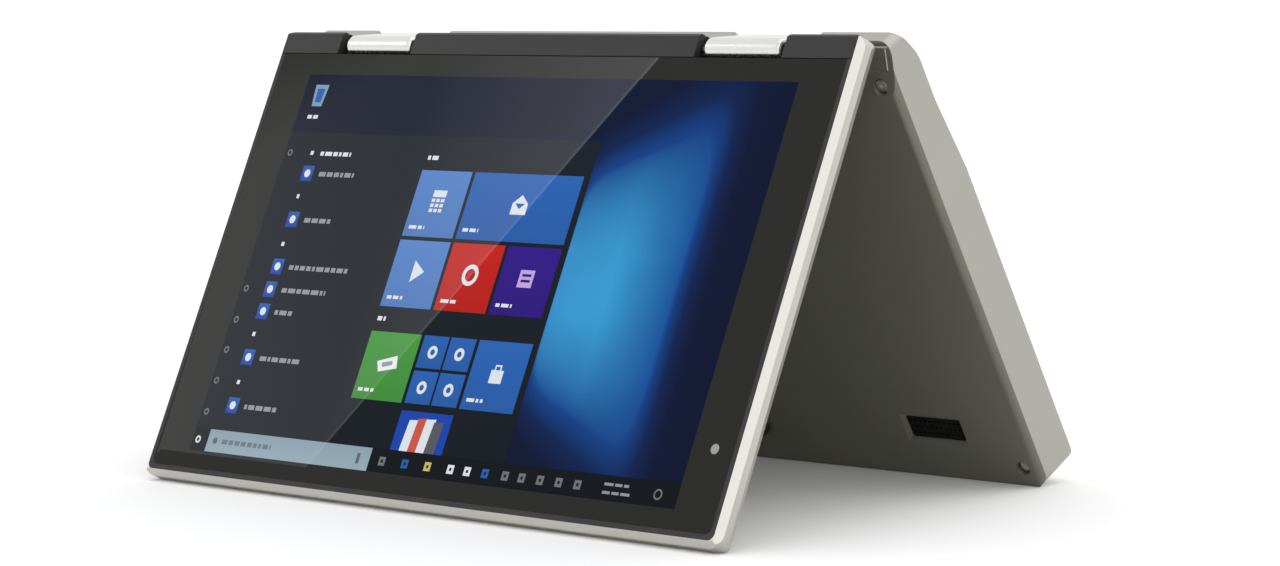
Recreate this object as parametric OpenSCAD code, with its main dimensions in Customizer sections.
// Seven-inch folding notebook computer with a 360-degree geared hinge,
// standing as a tent: screen half at the front (-Y), keyboard half behind (+Y).
// +Z is up and X runs along the hinge. The user's left is +X, seen from the keyboard.

/* [Body] */
// Width of both halves along the hinge
body_w = 181; // [176:1:186]
// Depth of each half from its hinge edge to its free edge
body_l = 111; // [109:1:114]
// Plan radius of the outer corners
corner_r = 3; // [2:0.5:4]
// Angle between screen face and keyboard face as it stands
opening = 306; // [296:1:312]

/* [Screen half] */
// Thickness at the hinge edge
lid_t = 5.4; // [5.4:0.1:6]
// Thickness at the free edge
lid_edge_t = 4.7; // [4.6:0.1:5.2]
// Width of the bright chamfer round the screen face
rim_chamfer = 1.4; // [1:0.1:1.6]
// Width of the black gasket round the glass
gasket_w = 1.2; // [0.8:0.1:1.4]
// Thickness of the cover glass
glass_t = 0.7; // [0.5:0.1:0.8]
// Width of the lit picture
picture_w = 153; // [150:0.5:153.5]
// Height of the lit picture
picture_h = 93; // [90:0.5:94]
// Distance from the hinge edge to the picture
picture_start = 11.1; // [10:0.1:12]

/* [Keyboard half] */
// Thickness over deck and bottom cover
base_t = 11.8; // [11.6:0.1:12.4]
// Thickness of deck and side walls
wall_t = 1.2; // [1:0.1:1.3]
// Depth below the deck of the seam between top case and bottom cover
seam_depth = 10.2; // [10:0.1:10.2]
// Drop of the deck beside the hinge
deck_drop = 1.7; // [1.2:0.1:1.8]

/* [Hinge] */
// Distance between the two hinge axes
axis_gap = 9.7; // [9.7:0.1:10]
// Depth of the upper axis behind the screen face
lid_axis_depth = 2.75; // [2.7:0.05:2.8]
// Depth of the lower axis below the deck
base_axis_depth = 6.15; // [6:0.05:6.2]
// Distance of both axes from the hinge edges
axis_inset = 2.8; // [2.7:0.1:3]
// Distance of each hinge from the middle of the width
hinge_x = 57; // [50:1:60]
// Length of one hinge housing
housing_w = 22; // [21:0.5:23]
// Radius of the housing round each axis
housing_r = 2.6; // [2.5:0.05:2.65]
// Width of the notches in both halves
notch_w = 25; // [24.5:0.5:26]
// Depth of the notches in both halves
notch_l = 6; // [5.9:0.1:6.4]
// Radius of the hinge shafts
shaft_r = 1.1; // [1:0.05:1.15]
// Running clearance round shafts and axles
running = 0.04; // [0.02:0.01:0.08]
// Teeth on each gear of the synchronising train
gear_teeth = 12; // [12:2:16]

/* [Keyboard] */
// Width of one key unit
pitch_x = 14.2; // [13.8:0.1:14.3]
// Spacing of the key rows
pitch_y = 13; // [12.6:0.1:13.2]
// Gap between neighbouring caps
key_gap = 1.6; // [1.4:0.1:1.8]
// Key travel
key_travel = 1.2; // [0.8:0.1:1.3]
// Distance from the hinge edge to the first key row
rows_start = 36; // [36:0.5:37]

/* [Ports] */
// Depth of the port centres below the deck
port_depth = 7.3; // [7.2:0.1:7.5]
// Bore of the audio socket
jack_bore_d = 3.5; // [3.5:0.1:3.6]

/* [Hidden] */
$fn = 48;
cut = 1;
silver = [0.74, 0.72, 0.67];
graphite = [0.13, 0.13, 0.13];

// Standing pose: the two edge curves that carry the tent fix its lean and its origin
half_apex = (360 - opening) / 2;
foot_r = 1;
function turned(p, a) = [p[0] * cos(a) + p[1] * sin(a), p[1] * cos(a) - p[0] * sin(a)];
function lid_point(v, z) = [
    -axis_gap / 2 - (v - axis_inset) * sin(half_apex) + (z - lid_axis_depth) * cos(half_apex),
    -(v - axis_inset) * cos(half_apex) - (z - lid_axis_depth) * sin(half_apex)
];
function base_point(v, z) = [
    axis_gap / 2 + (v - axis_inset) * sin(half_apex) + (z + base_axis_depth) * cos(half_apex),
    -(v - axis_inset) * cos(half_apex) + (z + base_axis_depth) * sin(half_apex)
];
lid_foot = lid_point(body_l - foot_r, lid_edge_t - foot_r);
base_foot = base_point(body_l - foot_r, foot_r - base_t);
lean = atan2(base_foot[1] - lid_foot[1], base_foot[0] - lid_foot[0]);
stand_z = foot_r - turned(lid_foot, lean)[1];
stand_y = -(turned(lid_point(body_l - rim_chamfer, 0), lean)[0]
          + turned(base_point(body_l, 0), lean)[0]) / 2;

module in_link() { translate([0, stand_y, stand_z]) rotate([-lean, 0, 0]) children(); }

// Screen half as if closed: X across, Y from its hinge edge, Z from the screen face to the back
module in_lid() {
    in_link() translate([0, -axis_gap / 2, 0]) rotate([-90 - half_apex, 0, 0])
        translate([0, -axis_inset, -lid_axis_depth]) children();
}

// Keyboard half: X across, Y from its hinge edge, Z up from the deck
module in_base() {
    in_link() translate([0, axis_gap / 2, 0]) rotate([half_apex - 90, 0, 0])
        translate([0, -axis_inset, base_axis_depth]) children();
}

// Shared shapes
module box(x, y, z) {
    translate([x[0], y[0], z[0]]) cube([x[1] - x[0], y[1] - y[0], z[1] - z[0]]);
}
function span(middle, width) = [middle - width / 2, middle + width / 2];
module round_rect(w, l, r) {
    square([w - 2 * r, l], center = true);
    square([w, l - 2 * r], center = true);
    for (x = [r - w / 2, w / 2 - r], y = [r - l / 2, l / 2 - r]) translate([x, y]) circle(r);
}
module plate(w, l, r, z) { translate([0, 0, z[0]]) linear_extrude(z[1] - z[0]) round_rect(w, l, r); }
module along_x(w) { translate([-w / 2, 0, 0]) rotate([90, 0, 90]) linear_extrude(w) children(); }
module along_y(l) { translate([0, l, 0]) rotate([90, 0, 0]) linear_extrude(l) children(); }
module plan_outline(inset, r) {
    translate([0, body_l / 2]) round_rect(body_w - 2 * inset, body_l - 2 * inset, r);
}
module on_side(side) { if (side > 0) children(); else mirror([1, 0, 0]) children(); }
module both_sides() { for (side = [-1, 1]) on_side(side) children(); }
module disc(x, y, z, r) { translate([x, y, z[0]]) cylinder(h = z[1] - z[0], r = r); }
module notches(z) {
    for (side = [-1, 1]) box(span(side * hinge_x, notch_w), [-cut, notch_l], z);
}

// Keyboard half shell: the deck falls away towards the hinge and turns down in a round shoulder
chamfer_top = 3;
chamfer_top_l = 7;
chamfer_bottom = 3.6;
chamfer_bottom_l = 11;
drop_flat = 18;
lip_r = 1.6;
shoulder_r = 9;
shoulder_angle = atan2(chamfer_top, chamfer_top_l);
shoulder_reach = shoulder_r * tan(shoulder_angle / 2);
shoulder_end = chamfer_top_l + shoulder_reach;
shoulder_start = [
    chamfer_top_l - shoulder_reach * cos(shoulder_angle), -deck_drop - shoulder_reach * sin(shoulder_angle)
];
module beyond_shoulder() {
    difference() {
        polygon([shoulder_start, [shoulder_start[0], cut], [shoulder_end, cut], [shoulder_end, -deck_drop]]);
        translate([shoulder_end, -deck_drop - shoulder_r]) circle(shoulder_r, $fn = 180);
    }
}
module base_side() {
    difference() {
        polygon([
            [0, -deck_drop - chamfer_top], [chamfer_top_l, -deck_drop], [drop_flat, -deck_drop],
            [rows_start, 0], [body_l, 0], [body_l, -base_t], [chamfer_bottom_l, -base_t],
            [0, chamfer_bottom - base_t]
        ]);
        beyond_shoulder();
        translate([body_l - foot_r, foot_r - base_t]) difference() {
            translate([0, -2 * foot_r]) square(2 * foot_r);
            circle(foot_r);
        }
    }
}
module base_front() {
    w = body_w / 2;
    polygon([[-w, 0], [w, 0], [w, lip_r - base_t], [w - lip_r, -base_t], [lip_r - w, -base_t],
        [-w, lip_r - base_t]]);
    for (side = [-1, 1]) translate([side * (w - lip_r), lip_r - base_t]) circle(lip_r);
}
module base_block() {
    intersection() {
        along_x(body_w) base_side();
        along_y(body_l) base_front();
        translate([0, 0, -base_t]) linear_extrude(base_t) plan_outline(0, corner_r);
    }
}

// Case screws: rear pair beside the hinges, front pair in the corners
screw_inset = 4.2;
rear_screw_y = 9.4;
front_screw_y = body_l - 5.1;
screw_spots = [for (x = [-1, 1], y = [rear_screw_y, front_screw_y]) [x * (body_w / 2 - screw_inset), y]];
boss_r = 2;
pad_r = 2.3;
pad_h = 0.9;
pad_top = pad_h - seam_depth;
screw_bore_r = 0.75;
screw_head_r = 1.45;
// Depth of the screw heads' seats below the bottom cover's face
head_seat = 1.6;
cover_t = 1;
notch_wall = 1;
rear_rib_l = notch_l + notch_wall;
module at_screws(z) { for (p = screw_spots) translate([p[0], p[1], z]) children(); }
module cavity() {
    difference() {
        translate([0, 0, -seam_depth - cut]) linear_extrude(seam_depth + cut - wall_t)
            plan_outline(wall_t, corner_r - wall_t);
        along_x(body_w) polygon([
            [-cut, 0], [rows_start, 0], [rows_start, -wall_t],
            [drop_flat, -deck_drop - wall_t], [shoulder_end, -deck_drop - wall_t],
            [wall_t, -deck_drop - chamfer_top - wall_t / 2], [wall_t, chamfer_bottom - base_t + 1],
            [rear_rib_l, -seam_depth], [rear_rib_l, -base_t], [-cut, -base_t]
        ]);
        for (side = [-1, 1])
            box(span(side * hinge_x, notch_w + 2 * notch_wall), [0, rear_rib_l], [-base_t, 0]);
    }
}
// Room for a bracket beside each notch, and the shaft's way through the notch's wall
knuckle_r = 1.8;
bracket_l = 13;
bracket_t = 0.7;
bracket_w = 9.7;
bracket_out = hinge_x - notch_w / 2 - notch_wall - 0.3;
bracket_x = [bracket_out - bracket_w, bracket_out];
module bracket_room(z_axis) {
    both_sides() {
        rod_at(z_axis, knuckle_r + 0.1, bracket_x + [-0.2, 0.3]);
        rod_at(z_axis, shaft_r + 0.3, [bracket_out, bracket_out + notch_wall + cut]);
        box(bracket_x + [-0.2, 0.3], [axis_inset, axis_inset + bracket_l + 0.2],
            span(z_axis + knuckle_r - bracket_t / 2, bracket_t + 0.2));
    }
}
module rod_at(z_axis, r, x) {
    translate([x[0], axis_inset, z_axis]) rotate([0, 90, 0]) cylinder(h = x[1] - x[0], r = r);
}
// Side wall openings of the ports: position from the hinge edge, width, height, corner radius
usb_c_y = 20;
micro_hdmi_y = 34;
usb_a_y = 50;
audio_y = 66;
microsd_y = 82;
usb_a_size = [14.0, 6.1];
usb_c_size = [9.3, 3.5];
micro_hdmi_size = [7.2, 3.5];
microsd_size = [12.4, 2.0];
port_fit = 0.1;
module side_hole(y, size, r) {
    translate([-body_w / 2 - cut, y, -port_depth]) rotate([90, 0, 90])
        linear_extrude(wall_t + 2 * cut) round_rect(size[0] + 2 * port_fit, size[1] + 2 * port_fit, r);
}
// Shadow gap under the rear wall: a round groove across the lower chamfer, narrower down its ends
groove_y = 1.1;
groove_r = 0.6;
groove_end_r = 0.25;
groove_x = body_w / 2 - lip_r;
lower_slope = atan2(chamfer_bottom, chamfer_bottom_l);
module rear_groove() {
    both_sides() translate([0, groove_y, chamfer_bottom - base_t - groove_y * tan(lower_slope)]) {
        rotate([0, 90, 0]) cylinder(h = groove_x, r = groove_r);
        translate([groove_x, 0, 0]) {
            sphere(groove_r);
            rotate([-90 - lower_slope, 0, 0])
                cylinder(h = (notch_l - groove_y) / cos(lower_slope), r = groove_end_r);
        }
    }
}
module top_case() {
    color(silver) in_base() difference() {
        base_block();
        difference() {
            cavity();
            at_screws(pad_top) cylinder(h = base_t, r = boss_r);
        }
        box([-body_w, body_w], [-cut, body_l + cut], [-base_t - cut, -seam_depth]);
        notches([-base_t - cut, cut]);
        bracket_room(-base_axis_depth);
        key_wells();
        rear_groove();
        at_screws(-seam_depth - cut) cylinder(h = 6, r = screw_bore_r);
        side_hole(usb_a_y, usb_a_size, 0.5);
        side_hole(usb_c_y, usb_c_size, 1.5);
        side_hole(micro_hdmi_y, micro_hdmi_size, 0.6);
        side_hole(microsd_y, microsd_size, 0.4);
        translate([-body_w / 2 - cut, audio_y, -port_depth]) rotate([0, 90, 0])
            cylinder(h = wall_t + 2 * cut, r = jack_r + port_fit);
        disc(sensor_x, sensor_y, [-wall_t - cut, cut], sensor_r + 0.1);
        for (x = light_x) disc(x, light_y, [-deck_drop - wall_t - cut, cut], light_r);
    }
}

// Speaker slots: an oblong hole with a dished rim
speaker_x = 64.5;
speaker_y = 97.8;
slot_w = 15.3;
slot_l = 5.6;
slot_bevel = 0.9;
slot_lead = 0.4;
module dish(w) {
    flare = w / 2 + slot_bevel + slot_lead;
    polygon([[-flare, -slot_lead], [flare, -slot_lead], [w / 2, slot_bevel], [-w / 2, slot_bevel]]);
}
module speaker_slot() {
    translate([speaker_x, speaker_y, -base_t]) {
        plate(slot_w, slot_l, 0.6, [-cut, cover_t + cut]);
        intersection() {
            translate([0, -body_l / 2, 0]) along_y(body_l) dish(slot_w);
            along_x(body_w) dish(slot_l);
        }
    }
}
module cover_shell() {
    difference() {
        base_block();
        box([-body_w, body_w], [-cut, body_l + cut], [-seam_depth, cut]);
        translate([0, 0, cover_t - base_t]) linear_extrude(base_t) intersection() {
            plan_outline(wall_t + lip_r, 1);
            translate([-body_w / 2, notch_l + 8]) square([body_w, body_l]);
        }
    }
}
module bottom_cover() {
    color([0.33, 0.32, 0.28]) in_base() difference() {
        union() {
            cover_shell();
            at_screws(-seam_depth - cover_t / 2) cylinder(h = pad_h + cover_t / 2, r = pad_r);
        }
        notches([-base_t - cut, cut]);
        both_sides() speaker_slot();
        at_screws(-base_t - cut) {
            cylinder(h = base_t, r = screw_bore_r + 0.1);
            cylinder(h = cut + head_seat, r = screw_head_r + 0.25);
        }
    }
}
head_h = 0.7;
module case_screws() {
    color(graphite) in_base() at_screws(head_seat - base_t) {
        translate([0, 0, -head_h]) difference() {
            cylinder(h = head_h, r = screw_head_r);
            translate([0, 0, -cut]) cylinder(h = cut + 0.4, r = 0.5, $fn = 6);
        }
        cylinder(h = 3.6, r = screw_bore_r - 0.05);
    }
}

// Rubber feet under the bottom cover
foot_h = 1.2;
foot_strip_w = 5;
module foot_strip(x, y, length) {
    z = [-base_t - foot_h, -base_t];
    translate([x, y, 0]) {
        plate(length, foot_strip_w, foot_strip_w / 2 - 0.1, [z[0] + 0.3, z[1]]);
        plate(length - 0.6, foot_strip_w - 0.6, foot_strip_w / 2 - 0.4, z);
    }
}
module rubber_feet() {
    color(graphite) in_base() {
        for (x = [-46, 46]) foot_strip(x, 18, 56);
        foot_strip(0, body_l - 10, 64);
    }
}
grille_rows = 3;
grille_columns = 11;
grille_pitch = [1.35, 1.6];
grille_t = 0.4;
module speaker_grilles() {
    inner = cover_t - base_t;
    color(graphite) in_base() both_sides() translate([speaker_x, speaker_y, 0]) difference() {
        plate(slot_w + 2.4, slot_l + 2.4, 0.8, [inner, inner + grille_t]);
        for (i = [0:grille_columns - 1], j = [0:grille_rows - 1])
            disc((i - (grille_columns - 1) / 2) * grille_pitch[0],
                (j - (grille_rows - 1) / 2) * grille_pitch[1], [-base_t, inner + cut], 0.4, $fn = 16);
    }
}
module speaker_box() {
    z = [cover_t - base_t + grille_t + 0.1, -4.6];
    in_base() translate([speaker_x, speaker_y - 0.6, 0]) difference() {
        plate(25, 15, 1.5, z);
        translate([0, 0.6, z[0] - cut]) cylinder(h = cut + 1.2, r = 2.4);
    }
}
module speaker_left() { color(graphite) speaker_box(); }
module speaker_right() { color(graphite) mirror([1, 0, 0]) speaker_box(); }

// Keyboard: rows of [width in key units, key group], from the user's left
key_rows = [
    concat([[1, "escape"]], [for (i = [1:10]) [1, "number"]], [[1, "backspace"]]),
    concat([[1, "modifier"]], [for (i = [1:11]) [1, "upper"]]),
    concat([[1.25, "modifier"]], [for (i = [1:9]) [1, "home"]], [[1.75, "enter"]]),
    concat([[1.75, "shift"]], [for (i = [1:9]) [1, "lower"]], [[1.25, "shift"]]),
    concat([for (i = [1:4]) [1, "modifier"]], [[3, "space"], [1, "modifier"]],
        [for (i = [1:4]) [1, "arrow"]])
];
row_units = 12;
function units_before(row, i) = i == 0 ? 0 : units_before(row, i - 1) + row[i - 1][0];
key_top = 0.2;
key_h = 1.8;
well_gap = 0.3;
cap_taper = 0.35;
cap_shoulder = 0.6;
cap_corner_r = 1;
module at_keys(group) {
    for (r = [0:len(key_rows) - 1], i = [0:len(key_rows[r]) - 1]) {
        key = key_rows[r][i];
        if (group == "any" || key[1] == group) {
            middle = units_before(key_rows[r], i) + key[0] / 2;
            $cap_w = key[0] * pitch_x - key_gap;
            translate([(row_units / 2 - middle) * pitch_x, rows_start + (r + 0.5) * pitch_y, 0]) children();
        }
    }
}
module cap_profile(w) {
    polygon([
        [-w / 2, key_top - key_h], [w / 2, key_top - key_h], [w / 2, key_top - cap_shoulder],
        [w / 2 - cap_taper, key_top], [cap_taper - w / 2, key_top], [-w / 2, key_top - cap_shoulder]
    ]);
}
module keycap(w, l) {
    intersection() {
        plate(w, l, cap_corner_r, [key_top - key_h, key_top]);
        translate([0, -l / 2, 0]) along_y(l) cap_profile(w);
        along_x(w) cap_profile(l);
    }
}
module keys(group) { color(graphite) in_base() at_keys(group) keycap($cap_w, pitch_y - key_gap); }
module escape_key() { keys("escape"); }
module number_keys() { keys("number"); }
module backspace_key() { keys("backspace"); }
module upper_letter_keys() { keys("upper"); }
module home_letter_keys() { keys("home"); }
module enter_key() { keys("enter"); }
module lower_letter_keys() { keys("lower"); }
module shift_keys() { keys("shift"); }
module modifier_keys() { keys("modifier"); }
module space_key() { keys("space"); }
module arrow_keys() { keys("arrow"); }

button_y = rows_start + len(key_rows) * pitch_y + 3.7;
button_w = 34;
button_l = 5.4;
button_x = 24;
power_y = 12.5;
power_x = -80;
power_r = 3;
module well(w, l) { round_rect(w + 2 * well_gap, l + 2 * well_gap, cap_corner_r); }
module key_wells() {
    translate([0, 0, -wall_t - cut]) linear_extrude(wall_t + 2 * cut) {
        at_keys("any") well($cap_w, pitch_y - key_gap);
        for (side = [-1, 1]) translate([side * button_x, button_y]) well(button_w, button_l);
    }
    disc(power_x, power_y, [-deck_drop - wall_t - cut, cut], power_r + well_gap);
}
module pointer_button() {
    color(graphite) in_base() translate([button_x, button_y, 0]) keycap(button_w, button_l);
}
module left_button() { pointer_button(); }
module right_button() { mirror([1, 0, 0]) pointer_button(); }
module power_button() {
    color(silver) in_base() disc(power_x, power_y, [-deck_drop - 1.5, 0.1 - deck_drop], power_r);
}
sensor_x = 0;
sensor_y = button_y;
sensor_r = 2.6;
module pointing_sensor() {
    color("black") in_base() difference() {
        union() {
            disc(sensor_x, sensor_y, [-2.6, 0], sensor_r);
            disc(sensor_x, sensor_y, [-3.4, -2.6], sensor_r + 1);
        }
        disc(sensor_x, sensor_y, [-0.3, cut], sensor_r - 0.6);
    }
}
light_y = 12.5;
light_r = 0.6;
light_x = [64, 68, 72];
module status_lights() {
    color("white") in_base() for (x = light_x) disc(x, light_y, [-deck_drop - wall_t, -deck_drop], light_r);
}
module deck_bumpers() {
    color(graphite) in_base() both_sides() disc(body_w / 2 - 3, body_l - 3.2, [0, 0.6], 1.6);
}

// Inside the keyboard half
dome_r = 2;
plate_top = -3.9;
module keyboard_plate() {
    color("gray") in_base() difference() {
        translate([0, rows_start + len(key_rows) * pitch_y / 2 + 3.5, 0])
            plate(row_units * pitch_x + 1, len(key_rows) * pitch_y + 8, 1.5, [plate_top - 0.5, plate_top]);
        disc(sensor_x, sensor_y, [plate_top - cut, plate_top + cut], sensor_r);
        at_screws(plate_top - cut) cylinder(h = 2 * cut, r = boss_r + 0.3);
    }
}
module dome_sheet() {
    color([0.85, 0.85, 0.8]) in_base() {
        translate([0, rows_start + len(key_rows) * pitch_y / 2, 0])
            plate(row_units * pitch_x - 1, len(key_rows) * pitch_y - 1, 1, [plate_top, plate_top + 0.3]);
        at_keys("any") translate([0, 0, plate_top + 0.3]) cylinder(h = 0.5, r = dome_r, $fn = 24);
    }
}
board_x = [-76, 10];
board_y = [13, 88];
board_z = [-6.0, -5.2];
module mainboard() {
    color([0.05, 0.25, 0.15]) in_base() {
        difference() {
            box(board_x, board_y, board_z);
            for (x = [board_x[0] + 4, board_x[1] - 4], y = [board_y[0] + 4, board_y[1] - 4])
                translate([x, y, board_z[0] - cut]) cylinder(h = 3, r = 1.1);
        }
        for (i = [0:3]) box([-8 + i * 4, -5.5 + i * 4], [60, 66], [board_z[0] - 1, board_z[0]]);
    }
}
module shield_can() {
    color("silver") in_base() difference() {
        box([-52, -14], [18, 50], [board_z[0] - 1.8, board_z[0]]);
        box([-51.6, -14.4], [18.4, 49.6], [board_z[0] - 1.5, board_z[0] + cut]);
        for (i = [0:5], j = [0:4]) translate([-46 + i * 5, 24 + j * 5, board_z[0] - 3])
            cylinder(h = 3, r = 0.6, $fn = 16);
    }
}
module heat_spreader() {
    color([0.75, 0.42, 0.25]) in_base() {
        box([-56, -10], [16, 54], [board_z[0] - 2.3, board_z[0] - 1.8]);
        box([-10, 8], [30, 36], [board_z[0] - 2.3, board_z[0] - 1.8]);
    }
}
module ssd_module() {
    color([0.08, 0.2, 0.3]) in_base() {
        box([-70, -28], [60, 82], [board_z[0] - 2, board_z[0] - 1.2]);
        for (x = [-64, -46]) box([x, x + 13], [63, 79], [board_z[0] - 3, board_z[0] - 2]);
    }
}
cell = [66, 33.4];
cell_start = 17;
module battery_pack() {
    color([0.12, 0.12, 0.14]) in_base() {
        for (i = [0, 1]) translate([47, cell_start + (i + 0.5) * cell[1] + i, 0])
            plate(cell[0], cell[1], 1.5, [cover_t - base_t + 0.3, -4.8]);
        box([18, 76], [0.2, 2.6] + [1, 1] * (cell_start + 2 * cell[1] + 1), [-8, -6.5]);
    }
}

// Port shells: a metal sleeve with its tongue, open towards -X
module port_shell(y, size, r, depth, wall, tongue_t) {
    in_base() translate([-body_w / 2 + 0.3, y, -port_depth]) rotate([90, 0, 90]) {
        difference() {
            linear_extrude(depth) round_rect(size[0], size[1], r);
            translate([0, 0, -cut]) linear_extrude(depth + cut - wall)
                round_rect(size[0] - 2 * wall, size[1] - 2 * wall, max(r - wall, 0.1));
        }
        translate([0, 0, depth / 4]) linear_extrude(depth * 0.75)
            square([size[0] - 2 * wall - 1.4, tongue_t], center = true);
    }
}
module usb_a_port() {
    color("silver") difference() {
        port_shell(usb_a_y, [13.1, 5.72], 0.4, 13.5, 0.3, 0.1);
        in_base() box([-body_w, -body_w / 2 + 13], span(usb_a_y, 12.5), span(-port_depth, 5.12));
    }
    color("white") in_base()
        box([-body_w / 2 + 1.5, -body_w / 2 + 13.5], span(usb_a_y, 11), span(-port_depth + 1.3, 1.8));
}
module usb_c_port() { color("silver") port_shell(usb_c_y, [8.94, 3.16], 1.4, 7, 0.3, 0.7); }
module micro_hdmi_port() { color("silver") port_shell(micro_hdmi_y, [7.0, 3.4], 0.5, 7, 0.3, 0.6); }
module microsd_slot() { color("silver") port_shell(microsd_y, [12, 1.8], 0.3, 12, 0.25, 0.2); }
jack_r = 2.85;
jack_l = 12;
module audio_jack() {
    color("black") in_base() translate([-body_w / 2 + 0.2, audio_y, -port_depth]) rotate([0, 90, 0])
        difference() {
            cylinder(h = jack_l, r = jack_r);
            translate([0, 0, -cut]) cylinder(h = jack_l - 1, r = jack_bore_d / 2);
        }
}

// Hinge: two links, each with a shaft to either half and a train of four equal gears between
gear_step = axis_gap / 3;
pitch_r = gear_step / 2;
module_mm = 2 * pitch_r / gear_teeth;
pressure = 25;
backlash = 0.04;
tip_r = pitch_r + 0.85 * module_mm;
root_r = pitch_r - 1.1 * module_mm;
involute_r = pitch_r * cos(pressure);
function involute(a) = (tan(a) - a * PI / 180) * 180 / PI;
half_tooth = 90 / gear_teeth - backlash / pitch_r * 45 / PI;
function flank_angle(r) = half_tooth + involute(pressure) - involute(acos(min(1, involute_r / r)));
flank_steps = 3;
function flank_r(k) = involute_r + (tip_r - involute_r) * k / flank_steps;
function polar(r, a) = [r * cos(a), r * sin(a)];
module gear_outline(phase) {
    polygon([for (t = [0:gear_teeth - 1]) let (a = phase + t * 360 / gear_teeth) each concat(
        [polar(root_r, a - flank_angle(involute_r))],
        [for (k = [0:flank_steps]) polar(flank_r(k), a - flank_angle(flank_r(k)))],
        [for (k = [flank_steps:-1:0]) polar(flank_r(k), a + flank_angle(flank_r(k)))],
        [polar(root_r, a + flank_angle(involute_r))])]);
}
end_t = 1.5;
end_r = 1.2;
inner_plate = [13, 14.5];
gear_span = [14.7, housing_w - end_t - 0.2];
shell_t = 0.5;
// Along one hinge: X from its inner end outwards, Y from the upper axis to the lower axis
module in_hinge() { in_link() translate([hinge_x - housing_w / 2, -axis_gap / 2, 0]) children(); }
module turn_x() { rotate([90, 0, 90]) children(); }
module stadium(r, x) {
    translate([x[0], 0, 0]) turn_x() linear_extrude(x[1] - x[0]) {
        circle(r);
        translate([axis_gap, 0]) circle(r);
        translate([0, -r]) square([axis_gap, 2 * r]);
    }
}
module rod(y, r, x) { translate([x[0], y, 0]) rotate([0, 90, 0]) cylinder(h = x[1] - x[0], r = r); }
// Outer form: a round-ended barrel on each axis and a slab between, all with the same end radius
module barrel() {
    rotate([0, 90, 0]) rotate_extrude() intersection() {
        translate([0, housing_w / 2]) round_rect(2 * housing_r, housing_w, end_r);
        square([housing_r, housing_w]);
    }
}
module housing_form() {
    for (y = [0, axis_gap]) translate([0, y, 0]) barrel();
    translate([housing_w / 2, 0, 0]) along_y(axis_gap) round_rect(housing_w, 2 * housing_r, end_r);
}
module hinge_housing() {
    color([0.82, 0.82, 0.8]) in_hinge() difference() {
        housing_form();
        stadium(housing_r - shell_t, [end_t, housing_w + cut]);
        for (y = [0, axis_gap]) rod(y, shaft_r + running, [-cut, end_t + cut]);
    }
}
module hinge_housing_left() { hinge_housing(); }
module hinge_housing_right() { mirror([1, 0, 0]) hinge_housing(); }
idler_axle_r = 0.6;
module bearing_plates() {
    color("silver") both_sides() in_hinge()
        for (x = [inner_plate, [housing_w - end_t, housing_w]]) difference() {
            intersection() {
                stadium(housing_r - shell_t, x);
                housing_form();
            }
            for (y = [0, axis_gap]) rod(y, shaft_r + running, x + [-cut, cut]);
            for (y = [gear_step, 2 * gear_step]) rod(y, idler_axle_r + running, x + [-cut, cut]);
        }
}
// Split rings that grip the shafts and hold the halves where they are set
clip_count = 4;
clip_w = 2.6;
module torque_clips() {
    step = (inner_plate[0] - end_t - 0.2) / clip_count;
    color("dimgray") both_sides() in_hinge() for (y = [0, axis_gap], i = [0:clip_count - 1]) {
        x = span(end_t + 0.1 + i * step + clip_w / 2, clip_w);
        side = y == 0 ? 1 : -1;
        difference() {
            union() {
                rod(y, housing_r - shell_t - 0.1, x);
                box(x, span(y + side * 1.6, 2), [-2, -1]);
            }
            rod(y, shaft_r + running, x + [-cut, cut]);
            box(x + [-cut, cut], span(y, 0.5), [0, 3]);
        }
    }
}
module idlers(step, phase) {
    color("goldenrod") both_sides() in_hinge() {
        translate([gear_span[0], step * gear_step, 0]) turn_x()
            linear_extrude(gear_span[1] - gear_span[0]) gear_outline(phase);
        rod(step * gear_step, idler_axle_r, [inner_plate[0], housing_w]);
    }
}
half_pitch = 180 / gear_teeth;
module lid_side_idlers() { idlers(1, half_pitch); }
module base_side_idlers() { idlers(2, 0); }
knuckle_floor = 0.6;
module shaft(y, phase) {
    color("gray") in_hinge() {
        rod(y, shaft_r, [bracket_x[0] + knuckle_floor + housing_w / 2 - hinge_x, housing_w]);
        translate([gear_span[0], y, 0]) turn_x() linear_extrude(gear_span[1] - gear_span[0])
            gear_outline(phase);
    }
}
module lid_shaft_left() { shaft(0, 0); }
module lid_shaft_right() { mirror([1, 0, 0]) shaft(0, 0); }
module base_shaft_left() { shaft(axis_gap, half_pitch); }
module base_shaft_right() { mirror([1, 0, 0]) shaft(axis_gap, half_pitch); }

// Brackets: a knuckle pressed on the shaft and a foot screwed into its half.
// The frame has its origin on the axis, Y into the half, and Z towards the foot.
module bracket() {
    x = bracket_x;
    difference() {
        union() {
            rod(0, knuckle_r, x);
            box(x, [0, bracket_l], [knuckle_r - bracket_t, knuckle_r]);
        }
        rod(0, shaft_r, x + [knuckle_floor, cut]);
        for (i = [0, 1]) disc(x[0] + 2.6 + i * 4.6, bracket_l - 3.5, [0, knuckle_r + cut], 0.8);
    }
}
module lid_bracket() { in_lid() translate([0, axis_inset, lid_axis_depth]) bracket(); }
module base_bracket() { in_base() translate([0, axis_inset, -base_axis_depth]) bracket(); }
module lid_bracket_left() { color("gray") lid_bracket(); }
module lid_bracket_right() { color("gray") mirror([1, 0, 0]) lid_bracket(); }
module base_bracket_left() { color("gray") base_bracket(); }
module base_bracket_right() { color("gray") mirror([1, 0, 0]) base_bracket(); }

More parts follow.
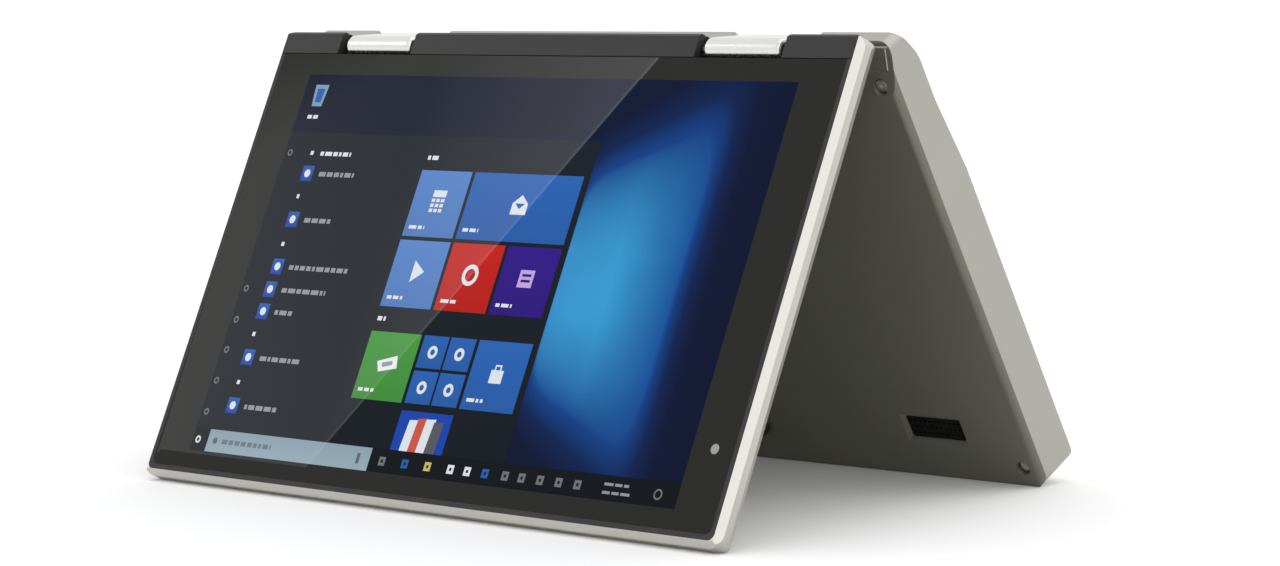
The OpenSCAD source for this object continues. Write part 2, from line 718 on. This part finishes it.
// Screen half shell
lid_back_r = 1;
module lid_side() {
    polygon([
        [0, 0.8], [0.8, 0], [body_l - rim_chamfer, 0], [body_l, rim_chamfer],
        [body_l, lid_edge_t - foot_r], [body_l - foot_r, lid_edge_t], [1.5, lid_t], [0, lid_t - 1.5]
    ]);
    translate([body_l - foot_r, lid_edge_t - foot_r]) circle(foot_r);
}
module lid_front() {
    w = body_w / 2;
    polygon([
        [-w, rim_chamfer], [rim_chamfer - w, 0], [w - rim_chamfer, 0], [w, rim_chamfer],
        [w, lid_edge_t - lid_back_r - 0.4], [w - lid_back_r, lid_t], [lid_back_r - w, lid_t],
        [-w, lid_edge_t - lid_back_r - 0.4]
    ]);
}
module lid_block() {
    intersection() {
        along_x(body_w) lid_side();
        along_y(body_l) lid_front();
        linear_extrude(lid_t) plan_outline(0, corner_r);
    }
}
glass_start = 5.7;
trim_t = 2;
face_inset = rim_chamfer;
module face_area(from, grow) {
    intersection() {
        plan_outline(face_inset - grow, corner_r - face_inset);
        translate([-body_w / 2, from]) square([body_w, body_l]);
    }
}
panel_x = span(0, picture_w + 7);
panel_y = [picture_start - 3, picture_start + picture_h + 1.2];
panel_z = [glass_t + 0.1, 3];
magnet = [20, 3];
magnet_spots = [for (x = [-70, 70]) [x, body_l - 2.6 - rim_chamfer]];
camera_spot = [body_w / 2 - 7.8, 90.8];
camera_flange_r = 2.4;
antenna_x = span(body_w / 2 - rim_chamfer - 5, 3.6);
antenna_y = [21, 69];
room = 0.1;
module bracket_pocket(z) {
    both_sides() box(bracket_x + [-0.6, 0.3], [0.7, axis_inset + bracket_l + 1], z);
}
module lid_cover() {
    color(silver) in_lid() difference() {
        lid_block();
        translate([0, 0, -cut]) linear_extrude(glass_t + cut + room) face_area(glass_start, 0);
        translate([0, 0, -cut]) linear_extrude(trim_t + cut) intersection() {
            plan_outline(face_inset, corner_r - face_inset);
            translate([-body_w / 2, -cut]) square([body_w, glass_start + cut]);
        }
        box(span(0, body_w - 2 * rim_chamfer), [-cut, 3], [-cut, trim_t]);
        box(panel_x, panel_y, [0, panel_z[1] + room]);
        disc(camera_spot[0], camera_spot[1], [-cut, 3], camera_flange_r + room);
        both_sides() box(antenna_x + [-room, room], antenna_y + [-room, room], [0, 2.2]);
        bracket_pocket([-cut, lid_axis_depth + knuckle_r + room]);
        bracket_room(lid_axis_depth);
        for (p = magnet_spots)
            box(span(p[0], magnet[0] + 2 * room), span(p[1], magnet[1] + 2 * room), [0, 2.6]);
        notches([-cut, lid_t + cut]);
    }
}
module screen_glass() {
    color([0.03, 0.03, 0.04]) in_lid() linear_extrude(glass_t)
        face_area(glass_start + 0.15, -gasket_w);
}
module glass_gasket() {
    color("black") in_lid() linear_extrude(glass_t) difference() {
        face_area(glass_start + 0.15, 0);
        face_area(glass_start - cut, -gasket_w);
    }
}
module hinge_trim() {
    color([0.05, 0.05, 0.05]) in_lid() difference() {
        intersection() {
            lid_block();
            box(span(0, body_w - 2 * (rim_chamfer + room)), [0, glass_start], [0, trim_t - room]);
        }
        notches([-cut, lid_t + cut]);
        bracket_room(lid_axis_depth);
        bracket_pocket([lid_axis_depth - knuckle_r - room, lid_t]);
    }
}
module display_panel() {
    color([0.1, 0.2, 0.45]) in_lid() box(panel_x + [0.3, -0.3], panel_y + [0.3, -0.3], panel_z);
}
module camera_module() {
    color(graphite) in_lid() {
        disc(camera_spot[0], camera_spot[1], [glass_t + room, 2.7], 2.1);
        disc(camera_spot[0], camera_spot[1], [2, 2.8], camera_flange_r);
    }
}
module camera_window() {
    color("lightgray") in_lid() disc(camera_spot[0], camera_spot[1], [-0.02, 0], 1.1);
}
module lid_antennas() {
    color([0.1, 0.35, 0.2]) in_lid() both_sides() box(antenna_x, antenna_y, [glass_t + 0.3, 1.6]);
}
module lid_magnets() {
    color("silver") in_lid() for (p = magnet_spots)
        box(span(p[0], magnet[0]), span(p[1], magnet[1]), [glass_t + 0.2, 2.5]);
}

top_case();
bottom_cover();
keyboard_plate();
dome_sheet();
mainboard();
shield_can();
heat_spreader();
ssd_module();
battery_pack();
speaker_left();
speaker_right();
speaker_grilles();
rubber_feet();
case_screws();
usb_a_port();
usb_c_port();
micro_hdmi_port();
audio_jack();
microsd_slot();
pointing_sensor();
status_lights();
deck_bumpers();
base_bracket_left();
base_bracket_right();
base_shaft_left();
base_shaft_right();
hinge_housing_left();
hinge_housing_right();
bearing_plates();
torque_clips();
base_side_idlers();
lid_side_idlers();
lid_cover();
screen_glass();
glass_gasket();
hinge_trim();
display_panel();
camera_module();
camera_window();
lid_antennas();
lid_magnets();
lid_bracket_left();
lid_bracket_right();
lid_shaft_left();
lid_shaft_right();
escape_key();
number_keys();
backspace_key();
upper_letter_keys();
home_letter_keys();
enter_key();
lower_letter_keys();
shift_keys();
modifier_keys();
space_key();
arrow_keys();
left_button();
right_button();
power_button();
